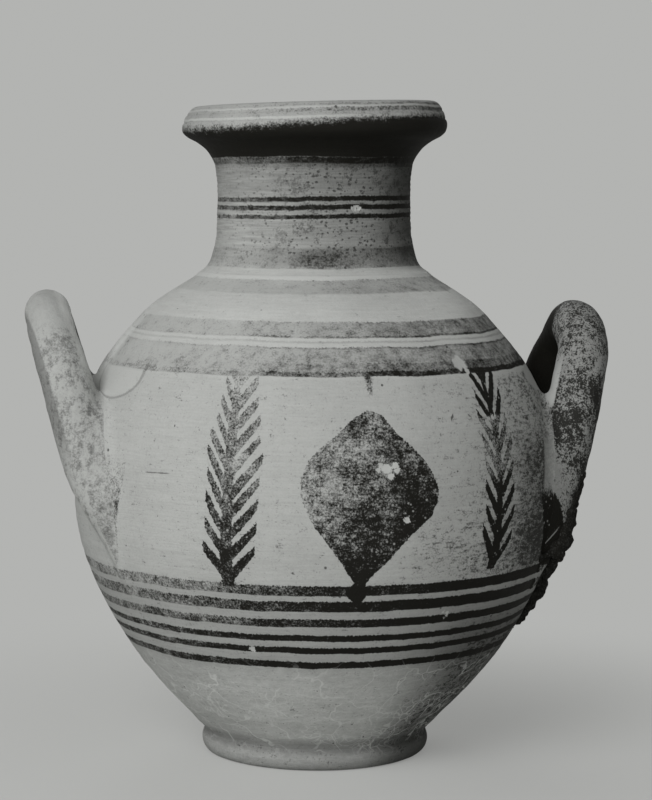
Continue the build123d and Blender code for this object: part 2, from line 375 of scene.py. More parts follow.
def pressed(points, own, other, blend):
    # moves a piece's points out to the smooth union with its neighbour; points
    # inside the neighbour stay a little below it, and more the deeper they lie
    inside = other(points)
    least, most = pressing["near"]
    near = (inside > least) & (inside < most)
    field = united(own, other, blend)
    moved = points.copy()
    work = points[near].copy()
    depth = np.maximum(-inside[near], 0)
    dive, deep = pressing["dive"]
    level = own(work) * smoothStep(*pressing["ease"], inside[near])
    level = level - pressing["sink"] * depth - dive * np.maximum(depth - deep, 0) ** 2
    low = field(work) < level
    for _ in range(pressing["rounds"]):
        value = field(work) - level
        nudges = np.eye(3) * pressing["nudge"]
        slope = np.stack([field(work + nudge) - field(work - nudge) for nudge in nudges], axis=1)
        slope /= 2 * pressing["nudge"]
        work -= (value / np.maximum((slope**2).sum(1), pressing["flattest"]))[:, None] * slope
    offset = (work - points[near]) * low[:, None]
    far = np.linalg.norm(offset, axis=1)
    moved[near] = points[near] + offset * np.minimum(1, pressing["farthest"] / np.maximum(far, 1e-6))[:, None]
    return moved


# Meshes


def placed(name, mesh):
    made = bpy.data.objects.new(name, mesh)
    bpy.context.scene.collection.objects.link(made)
    return made


def makeMesh(name, points, faces, design, kinds=None, sharp=40):
    # points and design are in millimetres; design goes along for the paint
    mesh = bpy.data.meshes.new(name)
    mesh.from_pydata((np.asarray(points) * mm).tolist(), [], faces)
    mesh.update()
    clay = mesh.attributes.new("clay", "FLOAT_VECTOR", "POINT")
    clay.data.foreach_set("vector", (np.asarray(design) * mm).astype(np.float32).ravel())
    if kinds is not None:
        mesh.polygons.foreach_set("material_index", np.asarray(kinds, np.int32))
    mesh.shade_smooth()
    mesh.set_sharp_from_angle(angle=math.radians(sharp))
    return placed(name, mesh)


def grid(rows, columns, closedRows):
    # four-sided faces of a net whose columns close on themselves
    faces = []
    for row in range(rows if closedRows else rows - 1):
        low = row * columns
        high = ((row + 1) % rows) * columns
        for column in range(columns):
            after = (column + 1) % columns
            faces.append((low + column, low + after, high + after, high + column))
    return faces


def turned(runs):
    # runs are lines of radius and height that go round the piece's section;
    # the first is the outer face, which gets the unevenness
    rows = np.vstack([np.array(run, float)[:-1] for run in runs])
    outside = np.arange(len(rows)) < len(runs[0])
    columns = jar["segments"]
    angle = np.arange(columns) / columns * 2 * math.pi
    radius = np.maximum(rows[:, :1], 0.02) * np.ones(columns)
    height = rows[:, 1:] * np.ones(columns)
    design = np.stack([radius * np.cos(angle), radius * np.sin(angle), height], axis=2).reshape(-1, 3)
    flags = np.repeat(outside, columns)
    outward = np.zeros(len(design))
    outward[flags] = unevenness(design[flags]) - chipping(design[flags])
    points = design.copy()
    points[:, :2] *= (1 + outward / np.hypot(design[:, 0], design[:, 1]))[:, None]
    kinds = np.repeat(np.where(outside & np.roll(outside, -1), 0, 1), columns)
    return points, grid(len(rows), columns, True), design, kinds, flags


def cut(low, high):
    # part of the outer outline between two seam heights
    chosen = (wallHeights >= low - 1e-6) & (wallHeights <= high + 1e-6)
    return outer[chosen]


def insideOf(run, depth):
    # the inner face that goes with an outer run, from top to bottom
    slope = np.gradient(run, axis=0)
    size = np.linalg.norm(slope, axis=1)
    aside = slope[:, ::-1] / size[:, None] * (-depth, depth)
    return (run + aside)[::-1]


def thin(run, step):
    # fewer points where nobody looks closely
    every = max(1, int(round(step / jar["rowStep"])))
    return np.vstack([run[:-1:every], run[-1:]])


foot = {
    "outline": (
        (61, 0), (73.6, 0), (76.2, 0.7), (78.2, 2.4), (79.4, 5.0), (79.8, 7.4), (79.6, 10.0), (78.8, 12.6),
        (78.1, 14.4), (77.9, 15.4),
    ),
    "inside": ((77.9, 15.4), (58.5, 15.4), (59.8, 7), (61, 0)),
}
lip = {
    "outline": (
        (69.6, 411.6), (71.2, 415.8), (75.0, 421.6), (81.6, 427.2), (89.2, 431.6), (91.6, 434.0), (92.5, 437),
        (92.3, 440), (91.6, 441.4), (91.0, 441.9), (91.1, 442.9), (90.6, 445), (89.6, 446.8), (88.9, 447.4),
        (88.8, 448.4), (87.8, 450.2), (85.8, 452.4), (83.4, 453.6), (80.6, 453.4), (78.2, 451.4),
    ),
    "inside": ((78.2, 451.4), (74.6, 446.4), (68.4, 437.6), (62.4, 424.5), (60, 416), (59.5, 411.6), (69.6, 411.6)),
}

atFoot, atGirth, atNeck, atLip = jar["seams"]
bore, well = jar["bore"], jar["well"]
lowOuter = cut(atFoot, atGirth)
lowInner = insideOf(lowOuter, jar["wall"])
lowInner = lowInner[lowInner[:, 1] > 27.5]
lowInner[0] = (jar["girthInside"], atGirth)
highOuter = cut(atGirth, atNeck)
highInner = insideOf(highOuter, jar["wall"])
highInner = highInner[(highInner[:, 0] > bore + 1) & (highInner[:, 1] < 338.0)]
highInner = np.vstack([[(bore, atNeck)], highInner])
highInner[-1] = (jar["girthInside"], atGirth)
neckOuter = cut(atNeck, atLip)

sections = {                      # node, then the runs round the section, outer face first
    "footRing": ("foot_ring", smoothLine(foot["outline"], 1.2), foot["inside"]),
    "lowerBowl": (
        "lower_body", lowOuter, np.vstack([lowOuter[-1:], thin(lowInner, jar["innerStep"])]),
        (lowInner[-1], (56, well), (28, well + 0.2), (0, well)),
        ((0, well), (0, atFoot)), ((0, atFoot), (58, atFoot), lowOuter[0]),
    ),
    "upperBowl": (
        "upper_body", highOuter, np.vstack([highOuter[-1:], thin(highInner, jar["innerStep"])]),
        (highInner[-1], highOuter[0]),
    ),
    "neckWall": (
        "neck", neckOuter, (neckOuter[-1], (bore, atLip)),
        smoothLine([(bore, atLip), (bore - 0.2, 380), (bore, atNeck)], 3), ((bore, atNeck), neckOuter[0]),
    ),
    "lip": ("lip", smoothLine(lip["outline"], 0.9), smoothLine(lip["inside"][:-1], 2.0), lip["inside"][-2:]),
}

leftField, rightField = (partial(loopField, line=loops[side]["bones"]) for side in ("left", "right"))
backField = partial(strapField, line=strapLine[::2])

neighbours = (                    # field, blend, and the two corners of the space where it is pressed on
    (leftField, blendAt, (-999, -115, 115), (-110, 115, 330)),
    (rightField, blendAt, (110, -115, 105), (999, 115, 320)),
    (backField, strap["blend"], (-45, 45, 275), (45, 999, 418)),
)

pieces = {}
for name, (node, *runs) in sections.items():
    points, faces, design, kinds, flags = turned(runs)
    for field, blend, least, most in neighbours:
        chosen = np.nonzero(flags & ((design > least) & (design < most)).all(1))[0]
        if len(chosen):
            points[chosen] = pressed(points[chosen], wallField, field, blend)
    pieces[name] = makeMesh(name, handmade(points), faces, design, kinds)
    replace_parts(pieces[name], node)
    print("turned", name, len(points), "points")


def unit(vectors):
    return vectors / np.linalg.norm(vectors, axis=1)[:, None]


def barFaces(rings, around):
    # rings of four-sided faces, and a face that closes each end
    last = (rings - 1) * around
    return grid(rings, around, False) + [tuple(range(around - 1, -1, -1)), tuple(range(last, last + around))]


def barMesh(line, around, lumps):
    # rings of a bar along its line, square to it, closed at both ends
    centre = line[:, :3]
    ahead = unit(np.gradient(centre, axis=0))
    hint = np.array([np.sign(centre[:, 0].mean()), 0.0, 0.0])
    outward = unit(hint - (ahead @ hint)[:, None] * ahead)
    side = np.cross(ahead, outward)
    angle = np.arange(around) / around * 2 * math.pi
    ring = outward[:, None, :] * np.cos(angle)[None, :, None] + side[:, None, :] * np.sin(angle)[None, :, None]
    points = (centre[:, None, :] + ring * line[:, 3][:, None, None]).reshape(-1, 3)
    return points + ring.reshape(-1, 3) * lumpy(points, lumps)[:, None], barFaces(len(centre), around)


for name, field in (("left", leftField), ("right", rightField)):
    points, faces = barMesh(loops[name]["line"], loops["around"], loops[name]["lumps"])
    shaped = pressed(points, field, wallField, blendAt)
    pieces[name + "Loop"] = makeMesh(name + "Loop", handmade(shaped), faces, shaped, sharp=60)
    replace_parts(pieces[name + "Loop"], name + "_handle", name + "_front_wad", name + "_back_wad")
    print("pressed on", name, "loop", len(points), "points")


def strapMesh():
    centre = strapLine[:, :2]
    wide, thick = strapLine[:, 2:].T
    ahead = unit(np.gradient(centre, axis=0))
    angle = np.arange(strap["around"]) / strap["around"] * 2 * math.pi
    push = thick[:, None] * np.cos(angle)
    y = centre[:, :1] + ahead[:, 1:] * push
    z = centre[:, 1:] - ahead[:, :1] * push
    points = np.stack([wide[:, None] * np.sin(angle), y, z], axis=2).reshape(-1, 3)
    points = points + lumpy(points, strap["lumps"])[:, None] * strap["lumpWay"]
    return points, barFaces(len(centre), strap["around"])


points, faces = strapMesh()
shaped = pressed(points, backField, wallField, strap["blend"])
pieces["backStrap"] = makeMesh("backStrap", handmade(shaped), faces, shaped, sharp=60)
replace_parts(pieces["backStrap"], "back_handle")
print("strap handle on the back")

# Crust of soil on the right loop's front root

crust = {
    "course": (                   # height, how far it stands out, half width, lump size
        (203, 0.2, 4, 2.2), (192, 0.6, 6, 3.2), (180, 1.0, 8, 4.4), (168, 2.0, 9, 5.4), (157, 3.6, 9, 6.6),
        (147, 5.2, 10, 7.4), (137, 5.6, 10, 7.4), (127, 5.0, 9, 7.0), (117, 5.2, 8, 6.6), (108, 4.8, 7, 6.2),
        (99, 3.2, 6, 5.0), (92, 0.6, 4, 3.2),
    ),
    "lumps": 380,
    "sizes": (0.25, 0.35, 0.5, 0.75),
    "grit": ((0.55, 2.6, 61), (0.3, 1.3, 62)),
    "searchRadii": (120.0, 215.0),
    "searchTurns": (-34, -8),     # degrees
    "voxel": 1.2,
    "seed": 12,
    "cameraAway": 1750.0,
}


def outerFace(turn, height):
    # how far the smoothed root or wall stands from the axis
    low, high = crust["searchRadii"]
    field = united(wallField, rightField, blendAt)
    for _ in range(22):
        middle = (low + high) / 2
        place = np.array([[middle * math.cos(turn), middle * math.sin(turn), height]])
        if field(place)[0] < 0:
            low = middle
        else:
            high = middle
    return low


def edgeTurn(height):
    # where the right root's outline lies as the camera sees it
    turnRight = math.radians(jar["viewTurn"])
    best, found = -1e9, 0.0
    for degrees in np.arange(*crust["searchTurns"], 1.0):
        turn = math.radians(degrees)
        radius = outerFace(turn, height)
        x, y = radius * math.cos(turn), radius * math.sin(turn)
        across = x * math.cos(turnRight) - y * math.sin(turnRight)
        toward = -(x * math.sin(turnRight) + y * math.cos(turnRight))
        seen = across / (crust["cameraAway"] - toward)
        if seen > best:
            best, found = seen, turn
    return found


def crustMesh():
    random = np.random.default_rng(crust["seed"])
    course = np.array(crust["course"], float)
    order = np.arange(len(course))
    edges = np.array([edgeTurn(height) for height in course[:, 0]])
    shape = bmesh.new()
    bmesh.ops.create_icosphere(shape, subdivisions=2, radius=1.0)
    ball = np.array([v.co for v in shape.verts])
    ballFaces = [tuple(v.index for v in f.verts) for f in shape.faces]
    shape.free()
    points, faces = [], []
    for _ in range(crust["lumps"]):
        along = random.uniform(0, len(course) - 1)
        height, stand, half, size = (np.interp(along, order, course[:, i]) for i in range(4))
        height += random.normal(0, 1.6)
        aside = random.normal(-0.25, 0.55) * half
        radius = outerFace(np.interp(along, order, edges), height)
        turn = np.interp(along, order, edges) + aside / radius
        lump = size * random.choice(crust["sizes"]) * random.uniform(0.85, 1.15)
        middle = 1 - min(1.0, abs(aside) / (1.6 * half))
        place = outerFace(turn, height) + (stand - 0.2 * lump) * middle - 0.45 * lump * (1 - middle)
        centre = np.array([place * math.cos(turn), place * math.sin(turn), height])
        stretch = random.uniform(0.75, 1.25, 3)
        base = len(points) * len(ball)
        points.append(ball * lump * stretch + centre)
        faces += [tuple(base + i for i in f) for f in ballFaces]
    points = np.vstack(points)
    rough = bpy.data.meshes.new("soilRough")
    rough.from_pydata((points * mm).tolist(), [], faces)
    holder = placed("soilRough", rough)
    fused = holder.modifiers.new("fused", "REMESH")
    fused.mode = "VOXEL"
    fused.voxel_size = crust["voxel"] * mm
    bpy.context.view_layer.update()
    seen = holder.evaluated_get(bpy.context.evaluated_depsgraph_get())
    shell = bpy.data.meshes.new_from_object(seen)
    co, normal = np.empty(len(shell.vertices) * 3), np.empty(len(shell.vertices) * 3)
    shell.vertices.foreach_get("co", co)
    shell.vertices.foreach_get("normal", normal)
    co = co.reshape(-1, 3) / mm
    co += normal.reshape(-1, 3) * lumpy(co, crust["grit"])[:, None]
    shellFaces = [tuple(p.vertices) for p in shell.polygons]
    bpy.data.objects.remove(holder)
    bpy.data.meshes.remove(rough)
    bpy.data.meshes.remove(shell)
    return co, shellFaces


points, faces = crustMesh()
pieces["soilCrust"] = makeMesh("soilCrust", handmade(points), faces, points, sharp=80)
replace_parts(pieces["soilCrust"], "soil_crust")
print("crust", len(points), "points")

# Floor and backdrop in one round dish of paper


def dish():
    flat, bend, sides, steps = (studio["dish" + word] for word in ("Flat", "Bend", "Sides", "Steps"))
    line = [(flat * share, 0.0) for share in (0.1, 0.25, 0.5, 0.75)]
    for step in range(steps + 1):
        angle = step / steps * math.pi / 2
        line.append((flat + bend * math.sin(angle), bend * (1 - math.cos(angle))))
    line.append((flat + bend, studio["dishTop"]))
    angles = [side / sides * 2 * math.pi for side in range(sides)]
    points = [(radius * math.cos(a), radius * math.sin(a), height) for radius, height in line for a in angles]
    faces = [face[::-1] for face in grid(len(line), sides, False)] + [tuple(range(sides))]
    mesh = bpy.data.meshes.new("paperDish")
    mesh.from_pydata(points, [], faces)
    mesh.shade_smooth()
    return placed("paperDish", mesh)


paper = dish()


# Finishes: numbers between nodes are written as sums

clayTones = {
    "span": (0, 455),
    "stops": (                    # height and how light the unpainted clay is; the dip at 14 mm is painted shade where the bowl meets the foot
        (0, 0.24), (10, 0.31), (14, 0.19), (18, 0.25), (26, 0.42), (40, 0.48), (62, 0.48), (78, 0.42), (84, 0.34),
        (139, 0.34), (144, 0.40), (272, 0.41), (278, 0.45), (310, 0.48), (338, 0.48), (348, 0.36), (374, 0.34),
        (392, 0.30), (414, 0.26), (430, 0.28), (440, 0.40), (455, 0.38),
    ),
    "darkest": (0.0058, 0.0053, 0.0035, 1),
    "lightest": (0.985, 1.0, 0.972, 1),
    "shine": 0.06,
    "bumps": 0.7,
    "paint": 0.004,
    "slip": 0.52,
    "bare": 0.34,
    "wallSpan": (110, 340),
    "wallMost": 200.0,            # millimetres
}


class Flow:
    # one number on its way through a finish
    def __init__(self, finish, socket):
        self.finish = finish
        self.socket = socket

    def beside(self, out):
        return Flow(self.finish, self.socket.node.outputs[out])

    def __add__(self, other):
        return self.finish.maths("ADD", self, other)

    def __radd__(self, other):
        return self.finish.maths("ADD", other, self)

    def __sub__(self, other):
        return self.finish.maths("SUBTRACT", self, other)

    def __rsub__(self, other):
        return self.finish.maths("SUBTRACT", other, self)

    def __mul__(self, other):
        return self.finish.maths("MULTIPLY", self, other)

    def __rmul__(self, other):
        return self.finish.maths("MULTIPLY", other, self)

    def __truediv__(self, other):
        return self.finish.maths("DIVIDE", self, other)


class Finish:
    def __init__(self, name):
        self.material = bpy.data.materials.new(name)
        self.material.use_nodes = True
        self.tree = self.material.node_tree
        self.shader = self.tree.nodes["Principled BSDF"]
        place = self.node("Attribute", {"attribute_name": "clay"}, {}, "Vector")
        self.spot = self.vectors("SCALE", {0: place, "Scale": 1 / mm})   # in millimetres

    def node(self, kind, settings, sockets, out=0):
        made = self.tree.nodes.new("ShaderNode" + kind)
        for name, value in settings.items():
            if name == "stops":
                self.setStops(made.color_ramp, value)
            else:
                setattr(made, name, value)
        for key, value in sockets.items():
            if isinstance(value, Flow):
                self.tree.links.new(value.socket, made.inputs[key])
            else:
                made.inputs[key].default_value = value
        return Flow(self, made.outputs[out])

    def setStops(self, ramp, stops):
        ramp.interpolation = "LINEAR"
        while len(ramp.elements) < len(stops):
            ramp.elements.new(1.0)
        for element, (place, color) in zip(ramp.elements, stops):
            element.position = place
            element.color = color

    def maths(self, operation, first, second=0.0):
        return self.node("Math", {"operation": operation}, {0: first, 1: second})

    def vectors(self, operation, sockets, out=0):
        return self.node("VectorMath", {"operation": operation}, sockets, out)

    def step(self, low, high, value):
        sockets = {"Value": value, "From Min": low, "From Max": high}
        return self.node("MapRange", {"interpolation_type": "SMOOTHSTEP"}, sockets)

    def within(self, value, rise, fall):
        return self.step(*rise, value) * self.step(*fall, value)

    def ends(self, value):
        return self.node("Math", {"operation": "ADD", "use_clamp": True}, {0: value, 1: 0.0})

    def size(self, value):
        return self.maths("ABSOLUTE", value)

    def most(self, first, *others):
        for other in others:
            first = self.maths("MAXIMUM", first, other)
        return first

    def blend(self, first, second, share):
        return first + (second - first) * share

    def whereabouts(self):
        # sideways, depth and height, and the degrees round the jar from its front
        parts = self.node("SeparateXYZ", {}, {0: self.spot})
        depth = parts.beside("Y")
        return parts, depth, parts.beside("Z"), self.maths("ARCTAN2", parts, depth * -1.0) * (180 / math.pi)

    def noise(self, width, stretch=(1, 1, 1), shift=0.0, detail=2.0, rough=0.5):
        # cloudy noise, -0.5 to 0.5, its features about width millimetres across
        sockets = {0: self.spot, 1: [s / width for s in stretch], 2: (shift, shift * 1.7, shift * 0.6)}
        vector = self.vectors("MULTIPLY_ADD", sockets)
        return self.node("TexNoise", {}, {"Vector": vector, "Scale": 1.0, "Detail": detail, "Roughness": rough}) - 0.5

    def strays(self, fine):
        # how far painted edges stray: grain, small waves and large waves
        large = self.noise(38, shift=91.0) * 2.6 + self.noise(9, shift=17.0)
        return fine * 2.4, self.noise(2.0, shift=71.0) * 2.6, large

    def cells(self, vector, scale, feature="F1"):
        return self.node("TexVoronoi", {"feature": feature}, {"Vector": vector, "Scale": scale}, "Distance")

    def ramp(self, value, span, stops):
        low, high = span
        color = self.node("ValToRGB", {"stops": stops}, {"Fac": (value - low) / (high - low)})
        return self.node("SeparateColor", {}, {0: color})

    def graph(self, value, span, points):
        # a curve through points of a value and a level from 0 to 1
        low, high = span
        return self.ramp(value, span, [((at - low) / (high - low), (level,) * 3 + (1,)) for at, level in points])

    def finish(self, tone, relief, rough, depth):
        # tone runs from the darkest paint to white slip
        ends = {0: self.ends(tone), 6: clayTones["darkest"], 7: clayTones["lightest"]}
        color = self.node("Mix", {"data_type": "RGBA"}, ends, 2)
        bump = self.node("Bump", {}, {"Strength": clayTones["bumps"], "Distance": depth, "Height": relief})
        for flow, name in ((color, "Base Color"), (bump, "Normal"), (rough, "Roughness")):
            self.tree.links.new(flow.socket, self.shader.inputs[name])
        self.shader.inputs["Specular IOR Level"].default_value = clayTones["shine"]
        return self.material


def rows(low, high, table, soft):
    # ramp stops for painted rows: bottom, top, dark paint, grey wash, light slip
    span = high - low
    stops = []
    for bottom, top, *levels in table:
        if stops and abs(stops[-1][0] * span + low - bottom) < soft * 1.2:
            stops.pop()
        else:
            stops.append(((bottom - soft / 2 - low) / span, (0, 0, 0, 1)))
        stops.append(((bottom + soft / 2 - low) / span, (*levels, 1)))
        stops.append(((top - soft / 2 - low) / span, (*levels, 1)))
        stops.append(((top + soft / 2 - low) / span, (0, 0, 0, 1)))
    return stops


paintedRows = {
    "soft": 0.5,
    "belly": (75, 150, (
        (82.7, 87.6, 0.98, 0, 0), (93.6, 98.0, 0.98, 0, 0), (102.5, 106.9, 0.96, 0, 0),
        (112.6, 118.4, 0.93, 0, 0), (123.7, 131.2, 0.93, 0, 0), (135.0, 142.1, 0.84, 0, 0),
    )),
    "shoulder": (270, 342, (
        (275.4, 278.6, 0.64, 0.9, 0), (278.6, 283.5, 0.42, 0.8, 0), (283.5, 292.6, 0.32, 0.7, 0),
        (292.6, 293.8, 0.45, 0.9, 0), (293.8, 296.3, 0, 0, 0.3), (296.3, 297.5, 0.1, 0.7, 0),
        (297.5, 299.3, 0, 0, 0.5), (299.3, 300.6, 0.5, 0.9, 0), (300.6, 309.3, 0.32, 0.8, 0),
        (326.4, 335.3, 0.2, 0.7, 0), (335.3, 338.1, 0, 0, 0.9),
    )),
    "neck": (342, 455, (
        (342.0, 355.6, 0.3, 0.75, 0), (357.0, 360.2, 0, 0, 0.4), (375.3, 378.3, 0.8, 0, 0),
        (378.3, 381.3, 0, 0, 0.4), (381.3, 384.7, 0.86, 0, 0), (384.7, 387.0, 0, 0, 0.4),
        (387.0, 390.3, 0.86, 0, 0), (409.8, 412.6, 0.16, 0.4, 0), (412.6, 417.0, 0.5, 0.6, 0),
    )),
    "lip": (415, 457, (
        (434.2, 442.6, 0.24, 0.3, 0), (442.6, 444.2, 0, 0, 0.7), (444.2, 446.6, 0.2, 0.4, 0),
        (446.6, 449.4, 0.38, 0.4, 0), (449.4, 450.6, 0, 0, 0.5), (450.6, 452.0, 0.32, 0.3, 0),
        (452.0, 456.0, 0.14, 0.2, 0.1),
    )),
}

tree = {
    "left": {
        "stem": ((140.6, -29.6), (160, -29.4), (185, -29.3), (210, -28.3), (241.6, -28.2), (274.5, -28.5)),
        "foot": 139.5,
        "thick": 3.5,
        "leaves": {               # first tip height, step, reach, rise, more rise and shorter reach at the top
            -1: (166.5, 13.65, 15.8, 1.2, 0.5, 6.0),
            1: (165.5, 13.9, 21.0, 1.05, 0.15, 5.5),
        },
    },
    "right": {
        "stem": (
            (147.1, 34.9), (155, 35.3), (172.7, 36.1), (192.7, 36.7), (212.6, 36.6), (240, 36.7), (256, 37.4),
            (275, 38.2),
        ),
        "foot": 147.0,
        "thick": 2.8,
        "leaves": {
            -1: (174.0, 14.9, 13.8, 1.6, 0.1, 1.0),
            1: (170.0, 15.1, 15.5, 1.4, 0.1, 0.0),
        },
    },
    "degree": 2.93,               # millimetres of girth
    "middle": (210, 65),          # height and half length that the stem's curve is fitted over
    "widens": (46, 22, 0.9),      # heights above the foot between which it does so, and how much
    "narrows": (230, 275, 0.9),
    "steepens": (165, 215),
    "shortens": (225, 275),
    "leaf": (4.9, 1.6),           # half thickness, and how much of it goes at the tip
    "luck": (0.12, 2.4, 0.9),     # what chance does to a leaf's place, reach and thickness
    "top": (276.4, 275.4),
}

lozenge = {
    "span": (126, 258),
    "turns": 24.0,                # degrees that the ramp's values cover each way
    "left": (
        (129, 0.2), (134, -2.0), (139, -2.6), (141.6, -1.3), (144, -0.62), (149, -1.9), (155.9, -3.32),
        (167.6, -6.12), (181, -9.58), (190.2, -11.29), (200.4, -12.49), (212.5, -12.46), (224.6, -10.55),
        (232.8, -7.65), (241.8, -3.66), (250.6, -0.16), (255.1, 3.0),
    ),
    "right": (
        (129, 0.6), (134, 2.2), (139, 2.7), (141.6, 2.0), (143.8, 2.26), (149.2, 3.65), (158.3, 7.11),
        (166.6, 9.55), (174.5, 12.1), (186.4, 17.13), (197.4, 18.78), (204.5, 18.86), (215.1, 17.39),
        (224.7, 15.19), (242.3, 8.92), (251.8, 6.49), (255.1, 3.6),
    ),
    "heights": ((129.0, 130.0), (255.4, 254.4)),
}

scars = (                         # turn as at the belly, height, radius of places where slip or lime shows
    (5.3, 220.2, 2.0), (6.5, 218.0, 3.6), (8.5, 220.0, 2.3), (7.2, 213.6, 2.2), (4.7, 217.4, 1.8), (8.9, 217.2, 1.9),
    (11.1, 184.7, 1.7), (31.6, 282.2, 3.4), (33.0, 282.8, 3.8), (33.9, 281.4, 3.0), (32.2, 279.6, 2.4),
    (34.1, 277.0, 2.0), (35.6, 246.4, 1.0), (36.9, 247.0, 1.1), (38.1, 247.8, 0.9), (5.9, 381.9, 1.8),
    (7.1, 382.3, 1.9), (-26.5, 95.5, 1.8), (23.4, 120.2, 0.7), (24.6, 119.6, 0.8), (24.7, 117.4, 0.7),
    (24.2, 115.4, 0.6),
)


def lozengeEdge(clay, height, side):
    turns = lozenge["turns"]
    points = [(tall, turn / turns / 2 + 0.5) for tall, turn in lozenge[side]]
    return (clay.graph(height, lozenge["span"], points) - 0.5) * (turns * 2)


def rowPaint(clay, height, name):
    low, high, table = paintedRows[name]
    dark = clay.ramp(height, (low, high), rows(low, high, table, paintedRows["soft"]))
    return dark, dark.beside("Green"), dark.beside("Blue")


def treePaint(clay, turn, height, ragged, side):
    shape = tree[side]
    points = np.array(shape["stem"])
    middle, half = tree["middle"]
    bends = np.polyfit((points[:, 0] - middle) / half, points[:, 1], 3)
    up = (height - middle) / half
    stem = ((bends[0] * up + bends[1]) * up + bends[2]) * up + bends[3]
    across = (turn - stem) * tree["degree"] + ragged
    aside = clay.size(across)
    foot = shape["foot"]
    (start, end, more), (*thinning, less) = tree["widens"], tree["narrows"]
    stemWide = shape["thick"] + clay.step(foot + start, foot + end, height) * more - clay.step(*thinning, height) * less
    mask = clay.step(0.6, -0.5, aside - stemWide) * clay.step(foot - 0.4, foot + 0.6, height)
    (thickness, taper), (stray, longer, thicker) = tree["leaf"], tree["luck"]
    for hand, (tip, gap, reach, rise, steeper, shorter) in shape["leaves"].items():
        start = tip - rise * reach
        root = height - (rise + clay.step(*tree["steepens"], height) * steeper) * aside
        count = (root - start) / gap + 0.5
        whole = clay.maths("FLOOR", count)
        luck = clay.node("TexWhiteNoise", {"noise_dimensions": "1D"}, {"W": whole + (17.3 * hand + 3.1)}) - 0.5
        off = clay.size(count - whole - 0.5 + luck * stray) * gap
        long = reach + luck * longer - clay.step(*tree["shortens"], height) * shorter
        share = aside / long
        thick = thickness - share * share * taper + luck * thicker
        leaf = clay.step(0.5, -0.5, off - thick) * clay.step(0.4, -0.5, aside - long) * clay.step(0, 1.2, across * hand)
        first = start - gap * 0.6
        mask = clay.most(mask, leaf * clay.step(first, first + 1, root))
    return mask * clay.step(*tree["top"], height)


crotches = {                      # turn, height and half widths of the pale patch below each crotch
    "left": (-71.0, 271.0, 11.6, 15.5),
    "right": (80.0, 267.0, 17.0, 11.0),
    "below": (276.0, 273.5),
    "line": 1.05,
}


def crotchPaint(clay, around, height, ragged):
    # the pale patches that the brush went round, and the thin line round the left one
    spare, line = 0.0, 0.0
    below = clay.step(*crotches["below"], height)
    for side, way in (("left", 1), ("right", -1)):
        turn, tall, wide, high = crotches[side]
        across = (clay.size(around) - abs(turn)) / wide + ragged * 0.02
        across = across + clay.step(0.0, 1.0, around * way) * 99.0
        upward = (height - tall) / high + ragged * 0.02
        away = clay.maths("SQRT", across * across + upward * upward)
        spare = clay.most(clay.step(1.06, 0.94, away) * below, spare)
        if side == "left":
            line = clay.step(0.075, 0.02, clay.size(away - crotches["line"])) * below
    return spare, line


wedges = {                        # height, turn there and its change with height, of the inner and outer edge
    "left": ((148.0, 61.5, -0.064), (150.0, 62.6, 0.05)),
    "right": ((190.4, 54.6, -0.088), (195.0, 60.0, -0.11)),
    "leftHeights": ((143, 146), (232, 190)),
    "rightHeights": ((201, 184), (139.5, 141)),
    "rightMost": 64.0,
}


def rootPaint(clay, around, height, ragged):
    # dark wedges that run down each front root
    degrees = clay.size(around) + ragged * 0.25

    def past(edge):
        tall, turn, lean = edge
        return degrees - ((height - tall) * lean + turn)

    inner, outer = wedges["left"]
    left = clay.step(0.4, -0.4, around) * clay.step(-0.3, 0.5, past(inner)) * clay.step(0.8, -0.6, past(outer))
    inner, outer = wedges["right"]
    right = clay.step(-0.4, 0.4, around) * clay.step(-0.3, 0.4, past(inner)) * clay.step(0.4, -0.5, past(outer))
    right = right * clay.step(0.4, -0.4, degrees - wedges["rightMost"])
    return left * clay.within(height, *wedges["leftHeights"]), right * clay.within(height, *wedges["rightHeights"])


